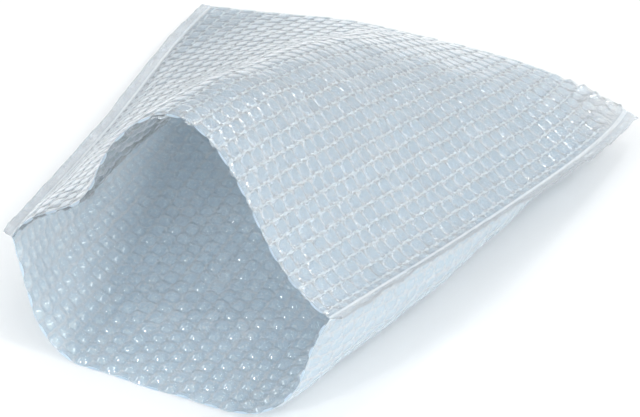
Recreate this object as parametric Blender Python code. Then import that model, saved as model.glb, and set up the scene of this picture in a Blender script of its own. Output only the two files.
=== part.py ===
"""Bubble pouch lying on its belly with its mouth open.

One web of bubble film is folded across the closed end and welded down both sides. Its flat
face is outside, drawn in between the rows of bubbles, and the bubbles stand up inside.
X runs across the pouch, Y from the mouth to the fold, Z up. Lengths are in millimetres
until the mesh is made.
"""

import math

import bmesh
import bpy
import numpy as np

MM_PER_M = 1000.0

# The pouch laid flat
POUCH_WIDTH = 300.0
POUCH_LENGTH = 350.0
WELD_WIDTH = 7.0
WELD_THICKNESS = 1.0

# The bubble film
BUBBLE_PITCH = 10.5
BUBBLE_HEIGHT = 3.6
WEB_THICKNESS = 0.8
ROW_SWELL = 0.8
FOLD_ROUND = 1.4

# Share of the space between the two sheets that one bubble may fill where they close together
BUBBLE_SHARE = 0.33

# Slope of each sheet in degrees, at equal steps from the left weld to the right weld
TOP_MOUTH_ANGLES = (60, 31, 69, 40, -18, -51, -47, -26)
TOP_MIDDLE_ANGLES = (40, 35, 35, 35, -11, -26, -39, -24)
BOTTOM_MOUTH_ANGLES = (-65, -70, -13, 6, -1, 38, 73, 61)
BOTTOM_MIDDLE_ANGLES = (-74, -18, 5, -2, 1, 7, 34, 88)
CLOSED_END_ANGLES = (10, 11, 11, 3, 3, 0, -10, -16)

# How the pouch lies: the belly rests on the table up to BELLY_SHARE of its length, pressed flat
# by SETTLE, and from there rises to FOLD_LIFT at the fold, which runs askew by FOLD_SKEW_ANGLE degrees
BELLY_SHARE = 0.6
SETTLE = 2.5
FOLD_LIFT = 12.0
FOLD_SKEW_ANGLE = -5.0

# Facets: section points for each bubble row, and bubble steps for each length of outer skin
SECTION_STEPS = 8
SKIN_STRIDE = 8

FILM_COLOUR = (0.72, 0.80, 0.88, 1.0)
FILM_ROUGHNESS = 0.22
FILM_TRANSMISSION = 0.35
SMOOTH_BELOW_ANGLE = math.radians(70)


def eased(slopes, places):
    """Reads equally spaced slopes at places from 0 to 1, on a smooth curve through them."""
    slopes = np.asarray(slopes, float)
    spans = len(slopes) - 1
    x = places * spans
    first = np.minimum(x.astype(int), spans - 1)
    t = x - first
    turn = np.gradient(slopes)
    rise = t * t * (3 - 2 * t) * (slopes[first + 1] - slopes[first])
    bend = t * (1 - t) ** 2 * turn[first] - t * t * (1 - t) * turn[first + 1]
    return slopes[first] + rise + bend


def through(mouth, middle, fold, v):
    """The parabola through three values, at v from 0 at the mouth to 1 at the fold."""
    return mouth * (1 - v) * (1 - 2 * v) + middle * 4 * v * (1 - v) + fold * v * (2 * v - 1)


def smoothstep(t):
    t = np.clip(t, 0, 1)
    return t * t * (3 - 2 * t)


def section_curves(mouth, middle, v, columns):
    """Each section of a sheet as complex X + iZ from its left weld, at two points a column."""
    places = np.linspace(0, 1, columns * SECTION_STEPS + 1)
    ends = [eased(slopes, places)[None] for slopes in (mouth, middle, CLOSED_END_ANGLES)]
    slope = np.radians(through(*ends, v[:, None]))
    heading = np.exp(1j * slope)
    steps = (heading[:, 1:] + heading[:, :-1]) / 2 * clear_width() / (len(places) - 1)
    curves = np.pad(np.cumsum(steps, axis=1), ((0, 0), (1, 0)))
    return curves[:, :: SECTION_STEPS // 2]


def clear_width():
    return POUCH_WIDTH - 2 * WELD_WIDTH


def in_space(curves, v):
    """Gives each section its Y, so that no line along the film is longer or shorter than the film."""
    gap = v[1] - v[0]
    drift = np.abs(np.gradient(curves, gap, axis=0))
    rate = np.sqrt(POUCH_LENGTH**2 - np.minimum(drift, 0.9 * POUCH_LENGTH) ** 2)
    y = np.pad(np.cumsum((rate[1:] + rate[:-1]) / 2 * gap, axis=0), ((1, 0), (0, 0)))
    fold_line = math.tan(math.radians(FOLD_SKEW_ANGLE)) * curves[-1].real
    return np.stack([curves.real, y - y[-1] + fold_line, curves.imag], axis=-1)


def sheets(columns, rows):
    """Inner faces of the top and bottom sheet: rows + 1 sections with two points a column."""
    v = np.linspace(0, 1, rows + 1)
    bottom = section_curves(BOTTOM_MOUTH_ANGLES, BOTTOM_MIDDLE_ANGLES, v, columns)
    top = section_curves(TOP_MOUTH_ANGLES, TOP_MIDDLE_ANGLES, v, columns)
    # Both sheets end on the same welds, so the top's sections turn to meet the bottom's
    chord = bottom[:, -1:]
    top = top * chord / top[:, -1:]
    # Every section hangs with its lowest point on the table, evened out along the welds
    lift = FOLD_LIFT * smoothstep((v - BELLY_SHARE) / (1 - BELLY_SHARE)) - SETTLE
    height = np.polyval(np.polyfit(v, lift - bottom.imag.min(axis=1), 3), v)
    left_weld = 1j * (height[:, None] + WEB_THICKNESS) - chord.real / 2
    bottom = in_space(bottom + left_weld, v)
    bottom[..., 2] = np.maximum(bottom[..., 2], WEB_THICKNESS)
    return in_space(top + left_weld, v), bottom


def unit(vectors):
    return vectors / np.linalg.norm(vectors, axis=-1, keepdims=True)


def upward_normals(sheet):
    along = np.gradient(sheet, axis=0)
    across = np.gradient(sheet, axis=1)
    return unit(np.cross(across, along))


def bubble_heights(top, bottom):
    """Height of each inner point: bubbles on every second point, staggered from row to row."""
    j, i = np.indices(top.shape[:2])
    space = np.linalg.norm(top - bottom, axis=-1)
    return np.where((i + j) % 2 == 0, np.minimum(BUBBLE_HEIGHT, BUBBLE_SHARE * space), 0.0)


class Skin:
    """Collects the points and triangles of one closed surface."""

    def __init__(self):
        self.points = []
        self.triangles = []

    def add(self, points):
        """Adds an array of points and returns their numbers in the same layout."""
        first = len(self.points)
        flat = points.reshape(-1, 3)
        self.points.extend(flat)
        return np.arange(first, first + len(flat)).reshape(points.shape[:-1])

    def strip(self, a, b):
        """Joins two equally long lines of points."""
        for a0, a1, b0, b1 in zip(a[:-1], a[1:], b[:-1], b[1:]):
            self.triangles += [(a0, a1, b1), (a0, b1, b0)]

    def fan(self, fine, coarse):
        """Joins a line of points to one with half as many steps."""
        for n in range(len(coarse) - 1):
            left, middle, right = fine[2 * n : 2 * n + 3]
            self.triangles += [
                (left, middle, coarse[n]),
                (middle, coarse[n + 1], coarse[n]),
                (middle, right, coarse[n + 1]),
            ]


def add_bubbles(skin, face):
    """Triangles of an inner face, each square cut from hollow to hollow so that bubbles stay whole."""
    rows, columns = face.shape
    for j in range(rows - 1):
        for i in range(columns - 1):
            a, b = face[j, i], face[j, i + 1]
            d, c = face[j + 1, i], face[j + 1, i + 1]
            if (i + j) % 2 == 0:
                skin.triangles += [(a, b, d), (b, c, d)]
            else:
                skin.triangles += [(a, b, c), (a, c, d)]


def inner_faces(skin, top, bottom):
    """The bubbled inside of both sheets, sharing the points of the welds and the fold."""
    top_normal, bottom_normal = upward_normals(top), upward_normals(bottom)
    top, bottom, top_normal, bottom_normal = (
        grid[:, ::2] for grid in (top, bottom, top_normal, bottom_normal)
    )
    height = bubble_heights(top, bottom)[..., None]
    above = skin.add(top - top_normal * height)
    below = skin.add(bottom + bottom_normal * height)
    below[:, 0], below[:, -1], below[-1] = above[:, 0], above[:, -1], above[-1]
    add_bubbles(skin, above)
    add_bubbles(skin, below)
    return above, below


def outer_face(sheet, outward, stations):
    """The flat side of the web, standing out along each row of bubbles."""
    ridge = np.where(np.arange(sheet.shape[1]) % 2 == 0, ROW_SWELL, 0.0)
    ridge[[0, -1]] = 0.0
    face = sheet + upward_normals(sheet) * outward * (WEB_THICKNESS + ridge[None, :, None])
    face[..., 2] = np.maximum(face[..., 2], 0.0)
    return face[stations]


def weld_edge(top, bottom, side, stations):
    """Upper and lower line of one side weld's free edge, midway between the slopes of the sheets."""
    inner = 1 if side == 0 else -2
    outward = unit(unit(top[:, side] - top[:, inner]) + unit(bottom[:, side] - bottom[:, inner]))
    along = np.gradient(top[:, side], axis=0)
    normal = unit(np.cross(outward, along))
    normal *= np.sign(normal[:, 2:])
    middle = top[:, side] + outward * WELD_WIDTH
    offset = normal * WELD_THICKNESS / 2
    return (middle + offset)[stations], (middle - offset)[stations]


def fold_line(top, bottom):
    """The outermost line of the fold."""
    away = unit(unit(top[-1] - top[-2]) + unit(bottom[-1] - bottom[-2]))
    return top[-1] + away * FOLD_ROUND


def outer_faces(skin, top, bottom):
    """The outside: both sheets, the side welds and the fold. Returns its loop of points at the mouth."""
    stations = sorted({*range(0, len(top), SKIN_STRIDE), len(top) - 1})
    left_up, left_down = weld_edge(top, bottom, 0, stations)
    right_up, right_down = weld_edge(top, bottom, -1, stations)
    upper = np.concatenate(
        [left_up[:, None], outer_face(top, 1, stations), right_up[:, None]], axis=1
    )
    lower = np.concatenate(
        [left_down[:, None], outer_face(bottom, -1, stations), right_down[:, None]], axis=1
    )
    above, below = skin.add(upper), skin.add(lower)
    for near, far in zip(range(len(stations) - 1), range(1, len(stations))):
        skin.strip(above[near], above[far])
        skin.strip(below[near], below[far])
        for side in (0, -1):
            skin.strip((above[near, side], below[near, side]), (above[far, side], below[far, side]))
    crease = fold_line(top, bottom)
    left_tip = (left_up[-1] + left_down[-1]) / 2 + (crease[0] - top[-1, 0])
    right_tip = (right_up[-1] + right_down[-1]) / 2 + (crease[-1] - top[-1, -1])
    tip = skin.add(np.concatenate([left_tip[None], crease, right_tip[None]]))
    skin.strip(above[-1], tip)
    skin.strip(below[-1], tip)
    for side in (0, -1):
        skin.triangles.append((above[-1, side], below[-1, side], tip[side]))
    return above[0], below[0]


def close_lip(skin, outside, inside):
    """The cut edge of the film round the mouth, with the ends of the two welds."""
    for outer, inner in zip(outside, inside):
        skin.fan(outer[1:-1], inner[0])
    (upper, lower), weld_ends = outside, inside[0][0, [0, -1]]
    for side, seam in zip((0, -1), weld_ends):
        beside = 1 if side == 0 else -2
        skin.triangles += [
            (seam, upper[beside], upper[side]),
            (seam, upper[side], lower[side]),
            (seam, lower[side], lower[beside]),
        ]


def film_material():
    material = bpy.data.materials.new("bubble_film")
    material.use_nodes = True
    shader = material.node_tree.nodes["Principled BSDF"]
    shader.inputs["Base Color"].default_value = FILM_COLOUR
    shader.inputs["Roughness"].default_value = FILM_ROUGHNESS
    shader.inputs["Metallic"].default_value = 0.0
    shader.inputs["Transmission Weight"].default_value = FILM_TRANSMISSION
    material.diffuse_color = FILM_COLOUR
    return material


def make_pouch():
    columns = round(clear_width() / (BUBBLE_PITCH * math.sqrt(3) / 2))
    rows = round(POUCH_LENGTH / (BUBBLE_PITCH / 2))
    top, bottom = sheets(columns, rows)
    skin = Skin()
    inside = inner_faces(skin, top, bottom)
    outside = outer_faces(skin, top, bottom)
    close_lip(skin, outside, inside)

    points = np.array(skin.points)
    middle = (points.min(axis=0) + points.max(axis=0)) / 2
    points[:, :2] -= middle[:2]
    used, triangles = np.unique(np.array(skin.triangles), return_inverse=True)
    mesh = bpy.data.meshes.new("bubble_pouch")
    mesh.from_pydata(points[used] / MM_PER_M, [], triangles.reshape(-1, 3).tolist())
    return mesh


def face_outward(mesh):
    shape = bmesh.new()
    shape.from_mesh(mesh)
    bmesh.ops.recalc_face_normals(shape, faces=shape.faces)
    shape.to_mesh(mesh)
    shape.free()


def clear_scene():
    for thing in list(bpy.data.objects):
        bpy.data.objects.remove(thing, do_unlink=True)


def main():
    clear_scene()
    mesh = make_pouch()
    face_outward(mesh)
    mesh.shade_smooth()
    mesh.set_sharp_from_angle(angle=SMOOTH_BELOW_ANGLE)
    mesh.materials.append(film_material())
    pouch = bpy.data.objects.new("bubble_pouch", mesh)
    bpy.context.scene.collection.objects.link(pouch)


main()
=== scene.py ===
"""The looks of the bubble pouch: its two films, bubbles, welds and lip, lit in a plain studio.

The web is laid out flat, cut to size and then folded onto the pouch's form. On the flat web X
runs across the pouch from the left weld, and S along the film from the lower lip, round the
fold, to the upper lip. Lengths are in millimetres until a mesh is made.
"""

import math
from typing import NamedTuple

import bmesh
import bpy
import numpy as np
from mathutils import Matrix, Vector, noise


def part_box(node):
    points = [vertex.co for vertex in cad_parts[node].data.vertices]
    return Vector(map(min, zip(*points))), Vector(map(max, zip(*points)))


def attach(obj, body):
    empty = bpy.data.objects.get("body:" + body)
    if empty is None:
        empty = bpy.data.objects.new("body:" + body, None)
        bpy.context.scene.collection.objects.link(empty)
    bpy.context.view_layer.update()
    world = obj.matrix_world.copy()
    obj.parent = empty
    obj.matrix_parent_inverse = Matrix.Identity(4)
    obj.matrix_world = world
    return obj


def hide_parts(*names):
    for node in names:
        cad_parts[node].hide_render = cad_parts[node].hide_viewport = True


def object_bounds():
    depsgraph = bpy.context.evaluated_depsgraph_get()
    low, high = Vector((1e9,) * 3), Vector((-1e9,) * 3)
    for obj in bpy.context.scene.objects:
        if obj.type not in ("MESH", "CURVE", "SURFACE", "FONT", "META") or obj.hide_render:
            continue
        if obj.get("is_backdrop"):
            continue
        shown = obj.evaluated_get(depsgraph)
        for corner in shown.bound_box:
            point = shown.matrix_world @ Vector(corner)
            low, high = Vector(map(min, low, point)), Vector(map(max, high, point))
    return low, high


MM_PER_M = 1000.0

# The pouch laid flat, and its film
POUCH_WIDTH = 300.0
POUCH_LENGTH = 350.0
WELD_WIDTH = 7.0
BUBBLE_PITCH = 10.5
BUBBLE_HEIGHT = 3.6
WEB_THICKNESS = 0.8

# Slope of each sheet in degrees, at equal steps from the left weld to the right weld
TOP_MOUTH_ANGLES = (60, 31, 69, 40, -18, -51, -47, -26)
TOP_MIDDLE_ANGLES = (40, 35, 35, 35, -11, -26, -39, -24)
BOTTOM_MOUTH_ANGLES = (-65, -70, -13, 6, -1, 38, 73, 61)
BOTTOM_MIDDLE_ANGLES = (-74, -18, 5, -2, 1, 7, 34, 88)
CLOSED_END_ANGLES = (10, 11, 11, 3, 3, 0, -10, -16)

# How the pouch lies
BELLY_SHARE = 0.6
SETTLE = 2.5
FOLD_LIFT = 12.0
FOLD_SKEW_ANGLE = -5.0
HEIGHT_CURVE_DEGREE = 3
# The most of a line's length along the film that can run sideways and upward
STEEPEST = 0.9

# Grid on which the form is worked out: steps for each bubble row and each half pitch
STEPS_ACROSS = 8
STEPS_ALONG = 4

# How each bubble draws the flat film out, like a pillow between its seams
SEAM_THICKNESS = 0.25
PILLOW_HEIGHT = 0.8
PILLOW_SQUARE_ACROSS = 9
PILLOW_SQUARE_ALONG = 8
PILLOW_END_DIP = 0.6

# A bubble's form: its share of its brick, how flat its top is, and how steep its sides are
BUBBLE_SPAN = 0.95
BUBBLE_FLATNESS = 4.0
BUBBLE_STEEPNESS = 1.6
# The share of the space between the sheets that a bubble takes, and of its height that it keeps
BUBBLE_SHARE = 0.4
LEAST_BUBBLE = 0.12

# A brick's inner rings of points, as shares of its size
RING_SHARES = 0.93, 0.72, 0.36

# Points this close are one where bricks meet and where the web is cut, or lie on a lip's line
BRICK_MERGE = 0.01
CUT_MERGE = 0.001
ON_LINE = 0.001
# Square millimetres of the smallest triangle that is kept where the web is cut
LEAST_AREA = 0.0001
# A grid is read up to this far short of its count of points, in steps, so that a point follows
GRID_END = 1.001

# Where the film starts to turn milky and over what stretch, as shares of half a brick
MILKY_ROUND_BUBBLE = 0.88, 0.14
MILKY_AT_ROW_EDGE = 0.86, 0.12
# The upper sheet's milky line along each row, from this far out between a row's middle and its edge
ROW_SEAM = 0.9
# How crumpled the film can be where that line still shows
CRUMPLED_SEAM = 0.5

# Unevenness: slack in the sheets, rows that wander, and bubbles that have lost some air
SLACK = 1.0
SLACK_ROOM = 25.0
WANDER = 0.7
WANDER_FREE = 12.0
LOST_AIR = 0.35
LOST_AIR_POWER = 3
CUT_AIR = 0.3
SEED = 5

# The corner where the right weld meets the fold is crumpled
CRUMPLE = 2.2
CRUMPLE_REACH = 75.0
CRUMPLE_FLATTENING = 0.6
FINE_CREASE = 0.4
SCALLOP = 2.5
SCALLOP_LENGTH = 9.0
SCALLOP_DEPTH = 8.0

# Stretches over which bubbles flatten towards a weld, and the film turns round the fold
WELD_FADE = 5.0
FOLD_REACH = 4.0

# Free edge of the welds
WELD_EDGE_THICKNESS = 0.5
WELD_RIPPLE = 0.9
WELD_STEPS = 12
EDGE_WANDER = 0.5
CRIMP = 0.6
FINE_CRIMP = 0.5
FINE_RIPPLE = 0.5
SEAL_WIDTH = 1.2
EAR = 2.0
EAR_REACH = 7.0
# How much of the bubbles' relief is left at the sealed line, and at a weld's free edge
SEALED_RELIEF = 0.25
EDGE_RELIEF = 0.2

# Patterns of noise on the flat web: the length of the waves, and the noise's layer
SLACK_WAVES = 38.0, 0.0
WANDER_ACROSS_WAVES = 26.0, 10.0
WANDER_ALONG_WAVES = 26.0, 20.0
CREASE_WAVES = 9.0, 30.0
FINE_CREASE_WAVES = 3.0, 31.0
SCALLOP_WAVES = 20.0, 35.0
RIPPLE_WAVES = 18.0, 0.0
FINE_RIPPLE_WAVES = 6.0, 4.0
CRIMP_WAVES = 3.0, 9.0
FINE_CRIMP_WAVES = 1.4, 5.0
EDGE_WAVES = 40.0, 3.0
WAVE_HEIGHT = 1.4

# How far light bends in the web, which is mostly air
LOWER_IOR = 1.0
UPPER_IOR = 1.33


class Film(NamedTuple):
    """A film's looks. Its colour goes from clear on the bubbles to milky round them, by seams, and to milky
    in white flecks that are painted glints.
    """

    clear: tuple
    milky: tuple
    seams: float
    ior: float
    transmission: float
    roughness: float
    coat: float


WHITE = 1.0, 1.0, 1.0
WELD_COLOR = 0.82, 0.90, 0.97
FILMS = {
    "flat_film_lower": Film(
        clear=(0.76, 0.90, 1.0), milky=WHITE, seams=0.8,
        ior=LOWER_IOR, transmission=0.6, roughness=0.2, coat=0.8,
    ),
    "flat_film_upper": Film(
        clear=(0.74, 0.88, 1.0), milky=WHITE, seams=0.8,
        ior=UPPER_IOR, transmission=0.73, roughness=0.05, coat=1.0,
    ),
    # The lower bubble film lines the floor inside the pouch. Its clear colour is greyer than the upper
    # one's: painted shade for the inside of the pouch.
    "bubble_film_lower": Film(
        clear=(0.84, 0.90, 0.94), milky=WHITE, seams=0.2,
        ior=LOWER_IOR, transmission=0.93, roughness=0.05, coat=1.0,
    ),
    "bubble_film_upper": Film(
        clear=(0.96, 0.985, 1.0), milky=(0.97, 0.99, 1.0), seams=0.5,
        ior=UPPER_IOR, transmission=0.94, roughness=0.05, coat=0.3,
    ),
    "weld": Film(
        clear=WELD_COLOR, milky=WHITE, seams=0.3,
        ior=UPPER_IOR, transmission=0.6, roughness=0.1, coat=0.8,
    ),
    "sealed_line": Film(
        clear=WELD_COLOR, milky=WHITE, seams=0.4,
        ior=UPPER_IOR, transmission=0.35, roughness=0.1, coat=0.8,
    ),
    "row_seam": Film(
        clear=(0.82, 0.93, 1.0), milky=(0.90, 0.96, 1.0), seams=0.4,
        ior=UPPER_IOR, transmission=0.45, roughness=0.1, coat=0.8,
    ),
}
COAT_ROUGHNESS = 0.05
COAT_IOR = 1.9
CUT_COLOR = 0.66, 0.78, 0.90
CUT_ROUGHNESS = 0.3
CUT_TRANSMISSION = 0.5

# The materials of each piece, in the order of its slots
FLAT_FILM_MATERIALS = "flat_film_lower", "flat_film_upper", "sealed_line", "row_seam"
BUBBLE_FILM_MATERIALS = "bubble_film_lower", "bubble_film_upper", "cut_edge"
WELD_MATERIALS = "weld", "sealed_line"
SEALED_SLOT = 2
ROW_SLOT = 3
CUT_SLOT = 2

# The film's streaks, its white flecks, which are painted glints, and its crinkle: waves in a metre across
# and along the web, and strength
STREAK_WAVES = 420, 22
STREAKS = 1.5
# Painted glints: white flecks in the film's colour, where this noise rises over its floor
PAINTED_GLINT_WAVES = 600, 600
PAINTED_GLINTS = 14.0
PAINTED_GLINT_FLOOR = 8.0
CRINKLE_WAVES = 600, 600
CRINKLE_METRES = 0.0008

# The light tent: its even light, how much more comes from the key light's side, and its colour
EVEN_LIGHT = 0.745
KEY_LIGHT = 0.42
KEY_SIDE = 0.8, -0.4, 0.45
LIGHT_COLOR = 0.96, 0.985, 1.0

# Soft boxes: their directions, the cosine of their half width, how sharp they end, and strength
SOFT_BOXES = (0.1, 0.1, 1.0), (-0.8, -0.5, 0.9), (0.9, -0.7, 0.8)
SOFT_BOX_EDGE = 0.98
SOFT_BOX_SHARPNESS = 40.0
SOFT_BOX_STRENGTH = 5.0

# Small lamps, in metres and watts
LAMPS = {
    "front": ((-0.2, -1.5, 0.9), 6.0),
    "right": ((0.9, -0.2, 1.2), 3.0),
    "back": ((0.3, 1.0, 1.2), 1.5),
}
LAMP_SIZE = 0.2
LAMP_AIM = 0.0, 0.0, 0.05

# The floor, in metres
FLOOR_REACH = 6.0
FLOOR_DROP = 0.0002
FLOOR_COLOR = 0.9, 0.9, 0.9
FLOOR_ROUGHNESS = 0.9

# The camera, from the photograph
CAMERA_AZIMUTH = 23.75
CAMERA_ELEVATION = 34.5
CAMERA_DISTANCE = 2080.0
CAMERA_LENS = 203.5
# The middle of the pouch's foot, and how far to the right of it and above it the camera looks
FOOT = 0.0, -5.3, 0.0
LOOK_RIGHT = 14.0
LOOK_UP = 12.0


def eased(slopes, places):
    """Reads equally spaced slopes at places from 0 to 1, on a smooth curve through them."""
    slopes = np.asarray(slopes, float)
    spans = len(slopes) - 1
    x = places * spans
    first = np.minimum(x.astype(int), spans - 1)
    t = x - first
    turn = np.gradient(slopes)
    rise = t * t * (3 - 2 * t) * (slopes[first + 1] - slopes[first])
    bend = t * (1 - t) ** 2 * turn[first] - t * t * (1 - t) * turn[first + 1]
    return slopes[first] + rise + bend


def through(mouth, middle, fold, v):
    """The parabola through three values, at v from 0 at the mouth to 1 at the fold."""
    return mouth * (1 - v) * (1 - 2 * v) + middle * 4 * v * (1 - v) + fold * v * (2 * v - 1)


def smoothstep(t):
    t = np.clip(t, 0, 1)
    return t * t * (3 - 2 * t)


def unit(vectors):
    return vectors / np.linalg.norm(vectors, axis=-1, keepdims=True)


def clear_width():
    return POUCH_WIDTH - 2 * WELD_WIDTH


def from_welds(x):
    """Distance in from the nearer sealed line, below 0 on a weld."""
    return np.minimum(x, clear_width() - x)


def section_curves(mouth, middle, v, steps):
    """Each section of a sheet as complex X + iZ, from its left weld to its right one."""
    places = np.linspace(0, 1, steps + 1)
    ends = [eased(slopes, places)[None] for slopes in (mouth, middle, CLOSED_END_ANGLES)]
    heading = np.exp(1j * np.radians(through(*ends, v[:, None])))
    chords = (heading[:, 1:] + heading[:, :-1]) / 2 * clear_width() / steps
    return np.pad(np.cumsum(chords, axis=1), ((0, 0), (1, 0)))


def in_space(curves, v):
    """Gives each section its Y, so that no line along the film is longer or shorter than the film."""
    gap = v[1] - v[0]
    drift = np.abs(np.gradient(curves, gap, axis=0))
    rate = np.sqrt(POUCH_LENGTH**2 - np.minimum(drift, STEEPEST * POUCH_LENGTH) ** 2)
    y = np.pad(np.cumsum((rate[1:] + rate[:-1]) / 2 * gap, axis=0), ((1, 0), (0, 0)))
    fold_line = math.tan(math.radians(FOLD_SKEW_ANGLE)) * curves[-1].real
    return np.stack([curves.real, y - y[-1] + fold_line, curves.imag], axis=-1)


def sheets(columns, rows):
    """Inner faces of the top and bottom sheet as grids of points, from the mouth to the fold."""
    v = np.linspace(0, 1, rows * STEPS_ALONG + 1)
    steps = columns * STEPS_ACROSS
    bottom = section_curves(BOTTOM_MOUTH_ANGLES, BOTTOM_MIDDLE_ANGLES, v, steps)
    top = section_curves(TOP_MOUTH_ANGLES, TOP_MIDDLE_ANGLES, v, steps)
    chord = bottom[:, -1:]
    top = top * chord / top[:, -1:]
    lift = FOLD_LIFT * smoothstep((v - BELLY_SHARE) / (1 - BELLY_SHARE)) - SETTLE
    height = np.polyval(np.polyfit(v, lift - bottom.imag.min(axis=1), HEIGHT_CURVE_DEGREE), v)
    left_weld = 1j * (height[:, None] + WEB_THICKNESS) - chord.real / 2
    bottom = in_space(bottom + left_weld, v)
    bottom[..., 2] = np.maximum(bottom[..., 2], WEB_THICKNESS)
    return in_space(top + left_weld, v), bottom


def in_box(top, bottom, low, high):
    """Moves both sheets so that the pouch, with its film round the fold, is in the middle of its box."""
    points = np.concatenate([top.reshape(-1, 3), bottom.reshape(-1, 3)])
    own_middle = (points.min(axis=0) + points.max(axis=0)) / 2
    round_fold = np.array([0.0, WEB_THICKNESS, 0.0])
    shift = (np.array(low) + np.array(high)) / 2 * MM_PER_M - own_middle - round_fold / 2
    shift[2] = 0.0
    return top + shift, bottom + shift


class Web:
    """The film's form: where any point of the flat web lies, and which way its outside faces."""

    def __init__(self, low, high):
        self.columns = round(clear_width() / (BUBBLE_PITCH * math.sqrt(3) / 2))
        self.rows = round(POUCH_LENGTH / (BUBBLE_PITCH / 2))
        self.column = clear_width() / self.columns
        self.half_pitch = POUCH_LENGTH / self.rows
        top, bottom = in_box(*sheets(self.columns, self.rows), low, high)
        self.top, self.bottom = top, bottom
        self.points = np.concatenate([bottom, top[-2::-1]])
        self.outward = self.outward_grid()
        between = np.linalg.norm(top - bottom, axis=-1)
        self.gap = np.concatenate([between, between[-2::-1]])
        self.away = unit(unit(top[-1] - top[-3]) + unit(bottom[-1] - bottom[-3]))

    def outward_grid(self):
        """Outward directions on the grid. Next to the fold each sheet's own direction is kept."""
        along, across = np.gradient(self.points, axis=0), np.gradient(self.points, axis=1)
        fold = len(self.bottom) - 1
        along[fold - 1] = along[fold - 2]
        along[fold] = along[fold + 1]
        return unit(np.cross(along, across))

    def read(self, grid, x, s):
        """Reads one of the web's grids at flat places x and s."""
        i = np.clip(x / clear_width() * (grid.shape[1] - 1), 0, grid.shape[1] - GRID_END)
        j = np.clip(s / (2 * POUCH_LENGTH) * (grid.shape[0] - 1), 0, grid.shape[0] - GRID_END)
        i0, j0 = i.astype(int), j.astype(int)
        p, q = i - i0, j - j0
        if grid.ndim == 3:
            p, q = p[:, None], q[:, None]
        near = grid[j0, i0] * (1 - p) + grid[j0, i0 + 1] * p
        far = grid[j0 + 1, i0] * (1 - p) + grid[j0 + 1, i0 + 1] * p
        return near * (1 - q) + far * q

    def facing(self, x, s):
        """Outward directions, turned round the fold from one sheet's to the other's."""
        normal = unit(self.read(self.outward, x, s))
        away = unit(self.read(np.stack([self.away, self.away]), x, s * 0))
        turn = (math.pi / 2 * smoothstep(1 - np.abs(s - POUCH_LENGTH) / FOLD_REACH))[:, None]
        return unit(normal * np.cos(turn) + away * np.sin(turn))

    def place(self, x, s, offset):
        """Points of the film at flat places x and s, standing out by offset, none under the floor."""
        points = self.read(self.points, x, s) + self.facing(x, s) * offset[:, None]
        points[:, 2] = np.maximum(points[:, 2], 0.0)
        return points

    def bubble_frame(self, x, s):
        """Place in its bubble's brick of each flat point: from -1 to 1 across and along."""
        i = np.round(x / self.column)
        across = (x - i * self.column) / (self.column / 2)
        j = np.round((s / self.half_pitch - i) / 2) * 2 + i
        along = (s - j * self.half_pitch) / self.half_pitch
        return across, along

    def air(self, x, s):
        """How full of air each point's bubble is, up to 1."""
        bubbles = self.columns + 1, 2 * self.rows + 4
        lost = np.random.default_rng(SEED).random(bubbles) ** LOST_AIR_POWER
        i = np.clip(np.round(x / self.column).astype(int), 0, self.columns)
        j = (np.round((s / self.half_pitch - i) / 2) * 2 + i).astype(int)
        cut_open = (j < 1) | (j > 2 * self.rows - 1)
        flattened = 1 - CRUMPLE_FLATTENING * self.in_crumple(x, s)
        return np.where(cut_open, CUT_AIR, (1 - LOST_AIR * lost[i, j + 1]) * flattened)

    def slack(self, x, s):
        """How far the sheet lies out of its smooth form, where the sheets are well apart."""
        room = smoothstep(self.read(self.gap, x, s) / SLACK_ROOM)
        return SLACK * room * waves(x, s, *SLACK_WAVES)

    def in_crumple(self, x, s):
        """1 at the corner of the right weld and the fold, where the film is crumpled, to 0 round it."""
        away = np.hypot(clear_width() - x, s - POUCH_LENGTH)
        return smoothstep(1 - away / CRUMPLE_REACH)

    def crumple(self, x, s):
        """How far the film is creased outward near the crumpled corner."""
        reach = self.in_crumple(x, s) * self.fade(x)
        scallops = np.abs(np.sin(math.pi * x / SCALLOP_LENGTH + waves(x, s * 0, *SCALLOP_WAVES)))
        at_fold = smoothstep(1 - np.abs(s - POUCH_LENGTH) / SCALLOP_DEPTH)
        creases = np.abs(waves(x, s, *CREASE_WAVES)) + FINE_CREASE * waves(x, s, *FINE_CREASE_WAVES)
        return reach * (CRUMPLE * creases + SCALLOP * scallops * at_fold)

    def pillow(self, x, s):
        """How far the flat film stands out, drawn in along the seams between the bubbles."""
        across, along = self.bubble_frame(x, s)
        rise = 1 - np.abs(across) ** PILLOW_SQUARE_ACROSS
        rise = rise * (1 - PILLOW_END_DIP * np.abs(along) ** PILLOW_SQUARE_ALONG)
        beyond = np.clip(-from_welds(x) / WELD_WIDTH, 0, 1)
        relief = SEALED_RELIEF + (1 - SEALED_RELIEF) * self.fade(x) - (SEALED_RELIEF - EDGE_RELIEF) * beyond
        return SEAM_THICKNESS + PILLOW_HEIGHT * rise * relief

    def welded(self, x, s):
        """How milky the film is: 0 on a bubble, and 1 where the two films are one or are crumpled."""
        across, along = self.bubble_frame(x, s)
        round_bubble = milkiness(np.sqrt(across**2 + along**2), *MILKY_ROUND_BUBBLE)
        at_row_edge = milkiness(np.abs(across), *MILKY_AT_ROW_EDGE)
        sealed = 1 - smoothstep(from_welds(x) / SEAL_WIDTH / 2)
        return np.maximum.reduce([round_bubble, at_row_edge, sealed, self.in_crumple(x, s)])

    def dome(self, x, s):
        """How far the bubbles stand into the pouch."""
        across, along = self.bubble_frame(x, s)
        radius = np.sqrt(across**2 + along**2) / BUBBLE_SPAN
        rise = np.clip(1 - radius**BUBBLE_FLATNESS, 0, 1) ** (1 / BUBBLE_STEEPNESS)
        room = np.clip(BUBBLE_SHARE * self.read(self.gap, x, s) / BUBBLE_HEIGHT, LEAST_BUBBLE, 1)
        return BUBBLE_HEIGHT * rise * room * self.fade(x)

    def fade(self, x):
        """How much of its height a bubble keeps beside a weld."""
        return smoothstep(from_welds(x) / WELD_FADE)


def milkiness(out, start, span):
    return smoothstep((out - start) / span)


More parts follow.
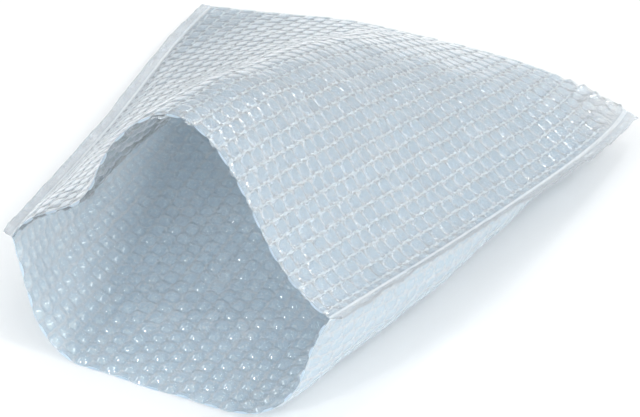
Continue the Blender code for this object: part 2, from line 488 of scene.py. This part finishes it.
def waves(x, s, length, layer, side=0):
    """Smooth noise from about -1 to 1 at flat places, in waves of about the given length.

    Each layer has its own pattern, and so has each side that is given.
    """
    pattern = [noise.noise((a / length, b / length, layer + side)) for a, b in zip(x, s)]
    return np.array(pattern) * WAVE_HEIGHT


def wander(x, s):
    """Flat places with the rows of bubbles a little out of line, but for the welds and the lips."""
    free_x = smoothstep(from_welds(x) / WANDER_FREE)
    free_s = smoothstep(np.minimum(s, 2 * POUCH_LENGTH - s) / WANDER_FREE)
    across = WANDER * free_x * waves(x, s, *WANDER_ACROSS_WAVES)
    along = WANDER * free_x * free_s * waves(x, s, *WANDER_ALONG_WAVES)
    return x + across, s + along


def ring(count, across, along):
    """Points of an ellipse as (x, s), starting on the right."""
    turns = np.arange(count) / count * 2 * math.pi
    return np.stack([across * np.cos(turns), along * np.sin(turns)], axis=1)


def brick(column, half_pitch):
    """Points and triangles of one bubble's brick of web, from its four seams in to its middle."""
    x, s = column / 2, half_pitch
    upper = [(x, 0), (x, s / 2), (x, s), (0, s), (-x, s), (-x, s / 2)]
    seam = np.array(upper + [(-a, -b) for a, b in upper])
    count = len(seam)
    rings = [ring(count, x * share, s * share) for share in RING_SHARES]
    points = np.concatenate([seam, *rings, [(0.0, 0.0)]])
    last, middle = count * len(rings), len(points) - 1
    triangles = []
    for outer in range(0, last, count):
        for n in range(count):
            a, b = outer + n, outer + (n + 1) % count
            triangles += [(a, b, b + count), (a, b + count, a + count)]
    triangles += [(last + n, last + (n + 1) % count, middle) for n in range(count)]
    return points, np.array(triangles)


def bricks(web):
    """Flat places and triangles of all the bubbles' bricks, which reach past the edges of the web."""
    points, triangles = brick(web.column, web.half_pitch)
    centres = [
        (i * web.column, j * web.half_pitch)
        for i in range(web.columns + 1)
        for j in range(-1, 2 * web.rows + 2)
        if (i + j) % 2 == 0
    ]
    places = (np.array(centres)[:, None] + points).reshape(-1, 2)
    faces = (np.arange(len(centres))[:, None, None] * len(points) + triangles).reshape(-1, 3)
    return places, faces


def cut_web(flat):
    """Cuts the flat web off at the welds and the lips, and across where the sealed lines end."""
    cuts = (
        ((0, 0, 0), (-1, 0, 0), True),
        ((clear_width(), 0, 0), (1, 0, 0), True),
        ((0, 0, 0), (0, -1, 0), True),
        ((0, 2 * POUCH_LENGTH, 0), (0, 1, 0), True),
        ((SEAL_WIDTH, 0, 0), (1, 0, 0), False),
        ((clear_width() - SEAL_WIDTH, 0, 0), (1, 0, 0), False),
    )
    for spot, outward, clears in cuts:
        everything = flat.verts[:] + flat.edges[:] + flat.faces[:]
        bmesh.ops.bisect_plane(flat, geom=everything, plane_co=spot, plane_no=outward, clear_outer=clears)
    bmesh.ops.remove_doubles(flat, verts=flat.verts, dist=CUT_MERGE)
    bmesh.ops.triangulate(flat, faces=flat.faces)
    slivers = [face for face in flat.faces if face.calc_area() < LEAST_AREA]
    bmesh.ops.delete(flat, geom=slivers, context="FACES")


def flat_web(web):
    """Flat places and triangles of the whole web, cut to the clear width and to both lips."""
    places, faces = bricks(web)
    mesh = bpy.data.meshes.new("flat_web")
    mesh.from_pydata(np.pad(places, ((0, 0), (0, 1))), [], faces.tolist())
    flat = bmesh.new()
    flat.from_mesh(mesh)
    bpy.data.meshes.remove(mesh)
    bmesh.ops.remove_doubles(flat, verts=flat.verts, dist=BRICK_MERGE)
    cut_web(flat)
    flat.verts.index_update()
    places = np.array([vertex.co[:2] for vertex in flat.verts])
    faces = np.array([[vertex.index for vertex in face.verts] for face in flat.faces])
    flat.free()
    return places, faces


def make_piece(name, points, faces, flat, welded, materials, slots):
    """A piece of film. Its materials read each point's place on the flat web, and how welded it is."""
    mesh = bpy.data.meshes.new(name)
    mesh.from_pydata(np.asarray(points) / MM_PER_M, [], np.asarray(faces).tolist())
    for material in materials:
        mesh.materials.append(material)
    mesh.polygons.foreach_set("material_index", np.asarray(slots, np.int32))
    mesh.shade_smooth()
    place = mesh.attributes.new("flat_place", "FLOAT_VECTOR", "POINT")
    place.data.foreach_set("vector", (np.pad(flat, ((0, 0), (0, 1))) / MM_PER_M).ravel())
    weld = mesh.attributes.new("welded", "FLOAT", "POINT")
    weld.data.foreach_set("value", welded.astype(np.float32))
    piece = bpy.data.objects.new(name, mesh)
    bpy.context.scene.collection.objects.link(piece)
    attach(piece, "root")
    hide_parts("bubble_pouch")


def sheet_slots(s, faces):
    """The slot of the sheet that each face is on: 0 for the lower one and 1 for the upper one."""
    return (s[faces].mean(axis=1) > POUCH_LENGTH).astype(int)


def flat_film_slots(web, x, s, faces):
    """The material slot of each face of the flat film."""
    sheet = sheet_slots(s, faces)
    from_middle = np.abs(web.bubble_frame(x, s)[0])[faces].mean(axis=1)
    smooth = web.in_crumple(x, s)[faces].mean(axis=1) < CRUMPLED_SEAM
    slots = np.where((from_middle > ROW_SEAM) & smooth & (sheet == 1), ROW_SLOT, sheet)
    slots[from_welds(x)[faces].mean(axis=1) < SEAL_WIDTH] = SEALED_SLOT
    return slots


def make_films(web, outer_materials, inner_materials):
    """The flat film, and the film that is formed into bubbles. Both face away from the web."""
    places, faces = flat_web(web)
    x, s = places.T
    air = web.air(x, s)
    out_of_form = web.slack(x, s) + web.crumple(x, s)
    wandered = wander(x, s)
    outside = web.place(*wandered, out_of_form + web.pillow(x, s) * air)
    inside = web.place(*wandered, out_of_form - web.dome(x, s) * air)
    welded = web.welded(x, s)
    slots = flat_film_slots(web, x, s, faces)
    make_piece("flat_film", outside, faces[:, ::-1], places, welded, outer_materials, slots)
    make_bubble_film(places, faces, inside, outside, welded, inner_materials)


def make_bubble_film(places, faces, inside, outside, welded, materials):
    """The film with the bubbles, and the cut edges that join it to the flat film along both lips."""
    lower, lower_strip = lip_strip(places, 0.0, len(places))
    upper, upper_strip = lip_strip(places, 2 * POUCH_LENGTH, len(places) + 2 * len(lower))
    edges = np.concatenate([lower, lower, upper, upper])
    points = np.concatenate([inside, inside[lower], outside[lower], inside[upper], outside[upper]])
    flat = np.concatenate([places, places[edges]])
    welded = np.concatenate([welded, welded[edges]])
    cut_faces = np.concatenate([lower_strip[:, ::-1], upper_strip])
    slots = np.concatenate([sheet_slots(places[:, 1], faces), np.full(len(cut_faces), CUT_SLOT)])
    faces = np.concatenate([faces, cut_faces])
    make_piece("bubble_film", points, faces, flat, welded, materials, slots)


def lip_strip(places, s, start):
    """Points along the lip at s, and the triangles of the cut edge that joins both films there.

    Its points are numbered from start: those on the bubbles' film, and then those on the flat film.
    """
    along = np.flatnonzero(np.abs(places[:, 1] - s) < ON_LINE)
    along = along[np.argsort(places[along, 0])]
    inner, outer = start, start + len(along)
    strip = [(inner + n, inner + n + 1, outer + n + 1) for n in range(len(along) - 1)]
    strip += [(inner + n, outer + n + 1, outer + n) for n in range(len(along) - 1)]
    return along, np.array(strip)


def weld_directions(web, side):
    """Along the left weld, side 0, or the right one, -1: the ways out across its band and up from it."""
    top, bottom = web.top, web.bottom
    beside = 1 if side == 0 else -2
    outward = unit(unit(top[:, side] - top[:, beside]) + unit(bottom[:, side] - bottom[:, beside]))
    normal = unit(np.cross(outward, np.gradient(top[:, side], axis=0)))
    return outward, normal * np.sign(normal[:, 2:])


def weld_edge(side, s):
    """Width of a weld along it. The cut beside it isn't quite straight, and the right one has an ear."""
    ear = 0 if side == 0 else EAR * smoothstep((s - POUCH_LENGTH + EAR_REACH) / EAR_REACH) ** 2
    return WELD_WIDTH + EDGE_WANDER * waves(s, s * 0, *EDGE_WAVES, side) + ear


def weld_ripple(side, s, w):
    """How far a weld's band waves up and down, more towards its free edge."""
    long_waves = waves(s, w, *RIPPLE_WAVES, side)
    return WELD_RIPPLE * w * (long_waves + FINE_RIPPLE * waves(s, w, *FINE_RIPPLE_WAVES, side))


def weld_creases(s, x, w):
    """How far the faces of a weld's band are creased outward."""
    creases = np.abs(waves(s, x, *CRIMP_WAVES)) + FINE_CRIMP * np.abs(waves(s, x, *FINE_CRIMP_WAVES))
    return CRIMP * smoothstep(w * 2) * creases


def weld_face(web, x, s, w, seam_x, middle, normal, creases):
    """One face of the band. It turns from the film's own direction at the seam to the band's normal."""
    turn = smoothstep(2 * w)[:, None]
    facing = unit(web.facing(seam_x, s) * (1 - turn) + normal * turn)
    free_edge = (WELD_EDGE_THICKNESS / 2 - SEAM_THICKNESS) * w
    rise = web.pillow(x, s) * web.air(x, s) + creases + free_edge
    return middle + facing * rise[:, None]


def round_band(above, below):
    """For each station along a weld, the row out over its band and the row back under it."""
    over, under = [rows.reshape(-1, WELD_STEPS + 1, rows.shape[-1]) for rows in (above, below)]
    return np.concatenate([over, under[:, ::-1]], axis=1)


def weld_triangles(stations, around):
    """Triangles over and under a weld's band, and across both its ends."""
    triangles = []
    for j in range(stations - 1):
        for i in range(around - 1):
            a = j * around + i
            triangles += [(a, a + 1, a + around + 1), (a, a + around + 1, a + around)]
    for row in (0, (stations - 1) * around):
        for i in range(WELD_STEPS):
            a, b = row + i, row + around - 1 - i
            end = [(a, b, b - 1), (a, b - 1, a + 1)]
            triangles += end if row else [face[::-1] for face in end]
    return np.array(triangles)


def make_weld(name, web, side, materials):
    """The band beyond the sealed line, where the two sheets and their flattened bubbles are one."""
    stations, steps = len(web.top), WELD_STEPS + 1
    s = np.repeat(np.linspace(0, POUCH_LENGTH, stations), steps)
    w = np.tile(np.linspace(0, 1, steps), stations)
    seam_x = np.full(len(s), 0.0 if side == 0 else clear_width())
    x = -w * WELD_WIDTH if side == 0 else clear_width() + w * WELD_WIDTH
    outward, normal = [np.repeat(ways, steps, axis=0) for ways in weld_directions(web, side)]
    seam = np.repeat(web.top[:, side], steps, axis=0)
    reach, ripple = w * weld_edge(side, s), weld_ripple(side, s, w)
    middle = seam + outward * reach[:, None] + normal * ripple[:, None]
    creases = weld_creases(s, x, w)
    upper_s = 2 * POUCH_LENGTH - s
    over = weld_face(web, x, upper_s, w, seam_x, middle, normal, creases)
    under = weld_face(web, x, s, w, seam_x, middle, -normal, creases)
    band = round_band(over, under)
    flat = round_band(np.stack([x, upper_s], axis=1), np.stack([x, s], axis=1)).reshape(-1, 2)
    faces = weld_triangles(*band.shape[:2])
    faces = faces if side else faces[:, ::-1]
    slots = (-from_welds(flat[:, 0])[faces].mean(axis=1) < SEAL_WIDTH).astype(int)
    make_piece(name, band.reshape(-1, 3), faces, flat, web.welded(*flat.T), materials, slots)


def noise_node(nodes, links, place, scale, detail=2):
    """Noise over the flat web, with the given number of waves in a metre across and along it."""
    mapping = nodes.new("ShaderNodeMapping")
    mapping.inputs["Scale"].default_value = (*scale, 1)
    links.new(place, mapping.inputs["Vector"])
    texture = nodes.new("ShaderNodeTexNoise")
    texture.inputs["Scale"].default_value = 1
    texture.inputs["Detail"].default_value = detail
    links.new(mapping.outputs["Vector"], texture.inputs["Vector"])
    return texture.outputs["Fac"]


def attribute_node(nodes, name):
    node = nodes.new("ShaderNodeAttribute")
    node.attribute_name = name
    return node


def math_node(nodes, links, operation, *values):
    node = nodes.new("ShaderNodeMath")
    node.operation = operation
    for socket, value in zip(node.inputs, values):
        if isinstance(value, float):
            socket.default_value = value
        else:
            links.new(value, socket)
    return node.outputs["Value"]


def new_material(name):
    material = bpy.data.materials.new(name)
    material.use_nodes = True
    return material, material.node_tree.nodes["Principled BSDF"]


def milky_and_glint_share(nodes, links, place, seams):
    """How far the film's colour is from clear to milky: at the seams and in streaks, and in white flecks
    that are painted glints.
    """
    streaks = noise_node(nodes, links, place, STREAK_WAVES)
    streaked = math_node(nodes, links, "MULTIPLY_ADD", streaks, STREAKS, -STREAKS / 2)
    # White flecks where the noise peaks: painted glints
    glint_noise = noise_node(nodes, links, place, PAINTED_GLINT_WAVES)
    painted_glints = math_node(nodes, links, "MULTIPLY_ADD", glint_noise, PAINTED_GLINTS, -PAINTED_GLINT_FLOOR)
    streaks_and_painted_glints = math_node(nodes, links, "ADD", streaked, math_node(nodes, links, "MAXIMUM", painted_glints, 0.0))
    welded = attribute_node(nodes, "welded").outputs["Fac"]
    return math_node(nodes, links, "MULTIPLY_ADD", welded, seams, streaks_and_painted_glints)


def film_material(name, film):
    """Film that is clear on the bubbles and milkier at the seams, with streaks, crinkles and white flecks
    that are painted glints.
    """
    material, shader = new_material(name)
    nodes, links = material.node_tree.nodes, material.node_tree.links
    shader.inputs["Roughness"].default_value = film.roughness
    shader.inputs["IOR"].default_value = film.ior
    shader.inputs["Transmission Weight"].default_value = film.transmission
    shader.inputs["Coat Weight"].default_value = film.coat
    shader.inputs["Coat Roughness"].default_value = COAT_ROUGHNESS
    shader.inputs["Coat IOR"].default_value = COAT_IOR
    place = attribute_node(nodes, "flat_place").outputs["Vector"]
    mix = nodes.new("ShaderNodeMix")
    mix.data_type = "RGBA"
    mix.inputs["A"].default_value = (*film.clear, 1)
    mix.inputs["B"].default_value = (*film.milky, 1)
    links.new(milky_and_glint_share(nodes, links, place, film.seams), mix.inputs["Factor"])
    links.new(mix.outputs["Result"], shader.inputs["Base Color"])
    bump = nodes.new("ShaderNodeBump")
    bump.inputs["Strength"].default_value = 1.0
    bump.inputs["Distance"].default_value = CRINKLE_METRES
    links.new(noise_node(nodes, links, place, CRINKLE_WAVES, detail=3), bump.inputs["Height"])
    links.new(bump.outputs["Normal"], shader.inputs["Normal"])
    return material


def cut_material():
    """The cut through the web along a lip."""
    material, shader = new_material("cut_edge")
    shader.inputs["Base Color"].default_value = (*CUT_COLOR, 1)
    shader.inputs["Roughness"].default_value = CUT_ROUGHNESS
    shader.inputs["IOR"].default_value = LOWER_IOR
    shader.inputs["Transmission Weight"].default_value = CUT_TRANSMISSION
    return material


def make_materials():
    materials = {name: film_material(name, film) for name, film in FILMS.items()}
    materials["cut_edge"] = cut_material()
    return materials


def make_stage():
    mesh = bpy.data.meshes.new("floor")
    reach = FLOOR_REACH
    corners = [(-reach, -reach, 0), (reach, -reach, 0), (reach, reach, 0), (-reach, reach, 0)]
    mesh.from_pydata(corners, [], [(0, 1, 2, 3)])
    floor = bpy.data.objects.new("floor", mesh)
    floor.location.z = -FLOOR_DROP
    bpy.context.scene.collection.objects.link(floor)
    material, shader = new_material("floor")
    shader.inputs["Base Color"].default_value = (*FLOOR_COLOR, 1)
    shader.inputs["Roughness"].default_value = FLOOR_ROUGHNESS
    mesh.materials.append(material)
    floor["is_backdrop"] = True


def make_lamp(name, place, energy):
    light = bpy.data.lights.new(name, "AREA")
    light.size = LAMP_SIZE
    light.energy = energy
    lamp = bpy.data.objects.new(name, light)
    lamp.location = place
    lamp.rotation_euler = (Vector(LAMP_AIM) - lamp.location).to_track_quat("-Z", "Y").to_euler()
    bpy.context.scene.collection.objects.link(lamp)


def towards(nodes, links, around, place):
    """How far a direction is towards a place: 1 straight at it, and -1 straight away from it."""
    dot = nodes.new("ShaderNodeVectorMath")
    dot.operation = "DOT_PRODUCT"
    dot.inputs[1].default_value = Vector(place).normalized()
    links.new(around, dot.inputs[0])
    return dot.outputs["Value"]


def with_soft_box(nodes, links, around, place, brightness):
    """Adds a round soft box in the direction of place to the tent's brightness."""
    facing = towards(nodes, links, around, place)
    start = -SOFT_BOX_SHARPNESS * SOFT_BOX_EDGE
    edge = math_node(nodes, links, "MULTIPLY_ADD", facing, SOFT_BOX_SHARPNESS, start)
    inside = math_node(nodes, links, "MINIMUM", math_node(nodes, links, "MAXIMUM", edge, 0.0), 1.0)
    return math_node(nodes, links, "MULTIPLY_ADD", inside, SOFT_BOX_STRENGTH, brightness)


def make_light():
    """A light tent with soft boxes, brighter on the key light's side, and lamps that glint in the film."""
    world = bpy.data.worlds.new("studio")
    bpy.context.scene.world = world
    world.use_nodes = True
    nodes, links = world.node_tree.nodes, world.node_tree.links
    around = nodes.new("ShaderNodeTexCoord").outputs["Generated"]
    to_key = towards(nodes, links, around, KEY_SIDE)
    brightness = math_node(nodes, links, "MULTIPLY_ADD", to_key, KEY_LIGHT, EVEN_LIGHT)
    for place in SOFT_BOXES:
        brightness = with_soft_box(nodes, links, around, place, brightness)
    links.new(brightness, nodes["Background"].inputs["Strength"])
    nodes["Background"].inputs["Color"].default_value = (*LIGHT_COLOR, 1)
    for name, (place, energy) in LAMPS.items():
        make_lamp(name, place, energy)


def make_camera():
    azimuth, elevation = math.radians(CAMERA_AZIMUTH), math.radians(CAMERA_ELEVATION)
    right = Vector((math.cos(azimuth), math.sin(azimuth), 0))
    level = math.cos(elevation)
    back = Vector((math.sin(azimuth) * level, -math.cos(azimuth) * level, math.sin(elevation)))
    up = back.cross(right)
    spot = Vector(FOOT) + right * LOOK_RIGHT + up * LOOK_UP
    camera = bpy.data.objects.new("camera", bpy.data.cameras.new("camera"))
    camera.location = (spot + back * CAMERA_DISTANCE) / MM_PER_M
    camera.rotation_euler = back.to_track_quat("Z", "Y").to_euler()
    camera.data.lens = CAMERA_LENS
    bpy.context.scene.collection.objects.link(camera)
    bpy.context.scene.camera = camera


def corners():
    """The whole object's lowest and highest corners, as plain lists."""
    return [list(corner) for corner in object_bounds()]


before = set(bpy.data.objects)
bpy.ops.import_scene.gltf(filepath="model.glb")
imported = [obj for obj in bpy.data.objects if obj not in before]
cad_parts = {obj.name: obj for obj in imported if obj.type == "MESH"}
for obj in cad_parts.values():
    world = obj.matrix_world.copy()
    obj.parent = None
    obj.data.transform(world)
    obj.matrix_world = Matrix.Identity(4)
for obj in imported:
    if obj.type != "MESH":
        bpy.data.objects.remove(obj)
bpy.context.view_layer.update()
make_camera()
make_light()
make_stage()
web = Web(*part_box("bubble_pouch"))
materials = make_materials()
flat_film_materials = [materials[name] for name in FLAT_FILM_MATERIALS]
bubble_film_materials = [materials[name] for name in BUBBLE_FILM_MATERIALS]
weld_materials = [materials[name] for name in WELD_MATERIALS]
make_films(web, flat_film_materials, bubble_film_materials)
make_weld("left_weld", web, 0, weld_materials)
make_weld("right_weld", web, -1, weld_materials)
bpy.context.scene.view_settings.view_transform = "Standard"
